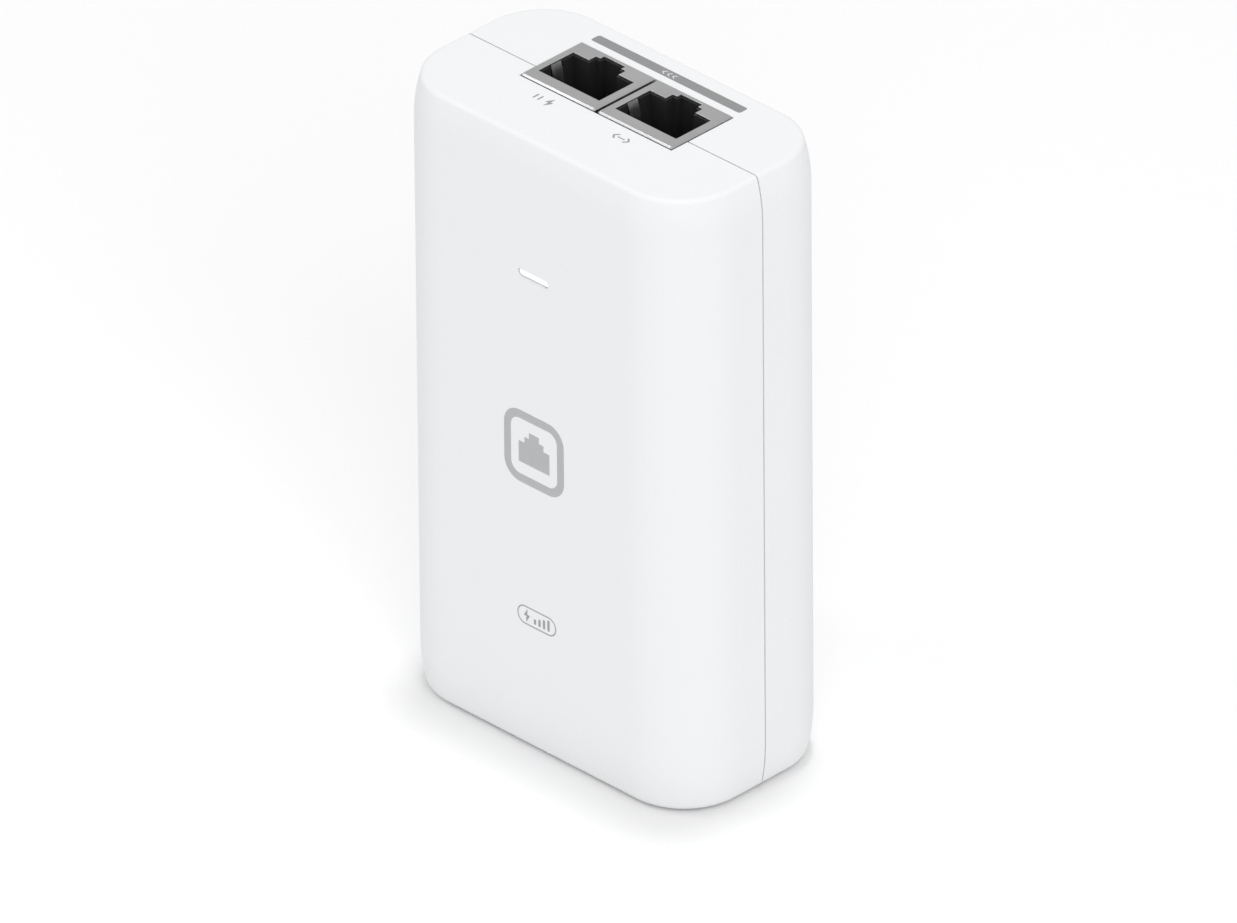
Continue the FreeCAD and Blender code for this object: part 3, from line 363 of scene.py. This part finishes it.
def on_top(across, depth, level):
    """Drawing plane on the top end, read from behind the injector."""
    return Matrix.Translation((across, depth, level)) @ Matrix.Rotation(math.pi, 4, "Z")


def bolt_outline(scale, shift):
    """Plain lightning bolt, with its middle at the shift."""
    corners = [(0.12, 1.0), (-0.55, -0.12), (-0.08, -0.12), (-0.12, -1.0), (0.55, 0.12), (0.08, 0.12)]
    return [(shift[0] + x * scale, shift[1] + y * scale) for x, y in corners]


def chevron_outline(tip, reach, lift, width):
    """Open arrow head as one outline: its tip, how far its arms reach back and how far they spread."""
    slant = width * math.hypot(reach, lift) / lift / 2
    return [(tip + slant, 0), (tip + slant - reach, lift), (tip - slant - reach, lift),
            (tip - slant, 0), (tip - slant - reach, -lift), (tip + slant - reach, -lift)]


def front_emblem():
    """Generic network port mark: a rounded frame round the outline of a modular jack."""
    size, line = 13.2, 1.5
    corner, inner_corner = 3.4, 1.9
    inner_size = size - 2 * line
    border = (rounded_outline((0, 0), (size, size), corner),
              rounded_outline((0, 0), (inner_size, inner_size), inner_corner))
    steps = [(3.4, -2.9), (3.4, 0.9), (2.1, 0.9), (2.1, 2.0), (1.1, 2.0), (1.1, 3.1)]
    jack = steps + [(-x, y) for x, y in reversed(steps)]
    film("front_emblem", [jack], [border], on_front(*EMBLEM_PLACE), INK)


def front_badge():
    """Pill outline low on the front, with a bolt and rising power bars in it."""
    width, height, line = 8.6, 3.4, 0.22
    flat = 0.02  # keeps the two arcs of each round end from meeting in one point
    border = (rounded_outline((0, 0), (width, height), height / 2 - flat),
              rounded_outline((0, 0), (width - 2 * line, height - 2 * line),
                              height / 2 - line - flat))
    foot, bar_width = -0.72, 0.5
    bars = [bar_outline((across, foot), (across, foot + rise), bar_width)
            for across, rise in ((-0.4, 0.5), (0.6, 0.85), (1.6, 1.2), (2.6, 1.55))]
    film("front_badge", [bolt_outline(1.25, (-2.2, 0.0)), *bars], [border],
         on_front(*BADGE_PLACE), FINE_INK)


def port_marks():
    """Small marks in front of the two jacks, read from behind the injector."""
    line = 0.32
    bars = [bar_outline((across, -0.6), (across, 0.5), line) for across in (0.9, 1.9)]
    film("output_mark", [bolt_outline(1.35, (-1.1, 0.0)), *bars], [],
         on_top((OUTPUT_LOW.x + OUTPUT_HIGH.x) / 2, OUTPUT_LOW.y - PORT_MARK_GAP, TOP_Z),
         FINE_INK)
    right = chevron_outline(1.6, 0.65, 0.75, line)
    left = [(-x, -y) for x, y in right]
    dots = [circle_outline((across, 0), 0.2) for across in (-0.52, 0.0, 0.52)]
    film("data_mark", [left, right, *dots], [],
         on_top((DATA_LOW.x + DATA_HIGH.x) / 2, DATA_LOW.y - PORT_MARK_GAP, TOP_Z),
         FINE_INK)


def strip_mark():
    """Three pale chevrons in the middle of the strip, in place of its lettering."""
    arrows = [chevron_outline(across, 0.5, 0.5, 0.22) for across in (-0.9, 0.2, 1.3)]
    film("strip_mark", arrows, [],
         on_top(0.0, (STRIP_LOW.y + STRIP_HIGH.y) / 2, STRIP_HIGH.z), PALE_INK)


def label_rules():
    """Blank form on the rating label: a border and a few ruled rows, with no lettering."""
    margin, line, corner = 2.0, 0.25, 1.5
    rows, indent, rule_width = 7, 3, 0.22
    width = (LABEL_HIGH.x - LABEL_LOW.x) / MM - 2 * margin
    height = (LABEL_HIGH.z - LABEL_LOW.z) / MM - 2 * margin
    border = (rounded_outline((0, 0), (width, height), corner),
              rounded_outline((0, 0), (width - 2 * line, height - 2 * line), corner - line))
    rules = [bar_outline((-width / 2 + indent, lift), (width / 2 - indent, lift), rule_width)
             for lift in (height * (0.5 - (row + 1) / (rows + 1)) for row in range(rows))]
    film("label_rules", rules, [border],
         on_back((LABEL_LOW.x + LABEL_HIGH.x) / 2, (LABEL_LOW.z + LABEL_HIGH.z) / 2, LABEL_HIGH.y),
         INK)


# ---------------------------------------------------------------- stage

def direction(azimuth, elevation):
    """Unit vector at these angles in radians, with azimuth 0 in front and growing to the right."""
    return Vector((math.sin(azimuth) * math.cos(elevation),
                   -math.cos(azimuth) * math.cos(elevation), math.sin(elevation)))


def studio():
    """White floor, an even white surround and the soft lights."""
    bpy.context.scene.view_settings.view_transform = "Standard"
    world = bpy.data.worlds.new("surround")
    bpy.context.scene.world = world
    world.use_nodes = True
    background = world.node_tree.nodes["Background"]
    background.inputs["Color"].default_value = (1.0, 1.0, 1.0, 1.0)
    background.inputs["Strength"].default_value = SURROUND_STRENGTH

    built = bmesh.new()
    bmesh.ops.create_grid(built, x_segments=1, y_segments=1, size=FLOOR_HALF_WIDTH)
    mesh = bpy.data.meshes.new("floor")
    built.to_mesh(mesh)
    built.free()
    floor = bpy.data.objects.new("floor", mesh)
    bpy.context.scene.collection.objects.link(floor)
    floor.location.z = CAD_BOX[0][2] - FLOOR_DROP
    sheet = Recipe("floor_paper", (0.98, 0.98, 0.98), 0.6, Specular_IOR_Level=0.2)
    sheet.vary_roughness(sheet.noise(40.0), 0.55, 0.65)
    mesh.materials.append(sheet.material)

    for name, (azimuth, elevation, distance, size, power) in LIGHTS.items():
        lamp = bpy.data.lights.new(name, "AREA")
        lamp.shape = "DISK"
        lamp.size = size
        lamp.energy = power
        light = bpy.data.objects.new(name, lamp)
        bpy.context.scene.collection.objects.link(light)
        away = direction(math.radians(azimuth), math.radians(elevation))
        spot = Vector(LIGHT_AIM) + away * distance
        light.location = spot
        light.rotation_euler = (Vector(LIGHT_AIM) - spot).to_track_quat("-Z", "Y").to_euler()


def camera():
    """Long lens looking down at the front right edge, nearly a parallel view."""
    target = Vector(CAMERA_TARGET_MM) * MM
    yaw, pitch, roll = (math.radians(angle) for angle in (CAMERA_YAW, CAMERA_PITCH, CAMERA_ROLL))
    away = direction(yaw, pitch)
    level = Vector((math.cos(yaw), math.sin(yaw), 0.0))
    upright = away.cross(level)
    right = level * math.cos(roll) + upright * math.sin(roll)
    up = upright * math.cos(roll) - level * math.sin(roll)
    lens = bpy.data.cameras.new("camera")
    lens.lens = CAMERA_LENS
    lens.sensor_width = CAMERA_SENSOR
    lens.clip_start, lens.clip_end = CAMERA_CLIP
    view = bpy.data.objects.new("camera", lens)
    bpy.context.scene.collection.objects.link(view)
    turn = Matrix((right, up, away)).transposed().to_4x4()
    view.matrix_world = Matrix.Translation(target + away * CAMERA_DISTANCE) @ turn
    bpy.context.scene.camera = view


dress_nodes()
front_emblem()
front_badge()
port_marks()
strip_mark()
label_rules()
studio()
camera()
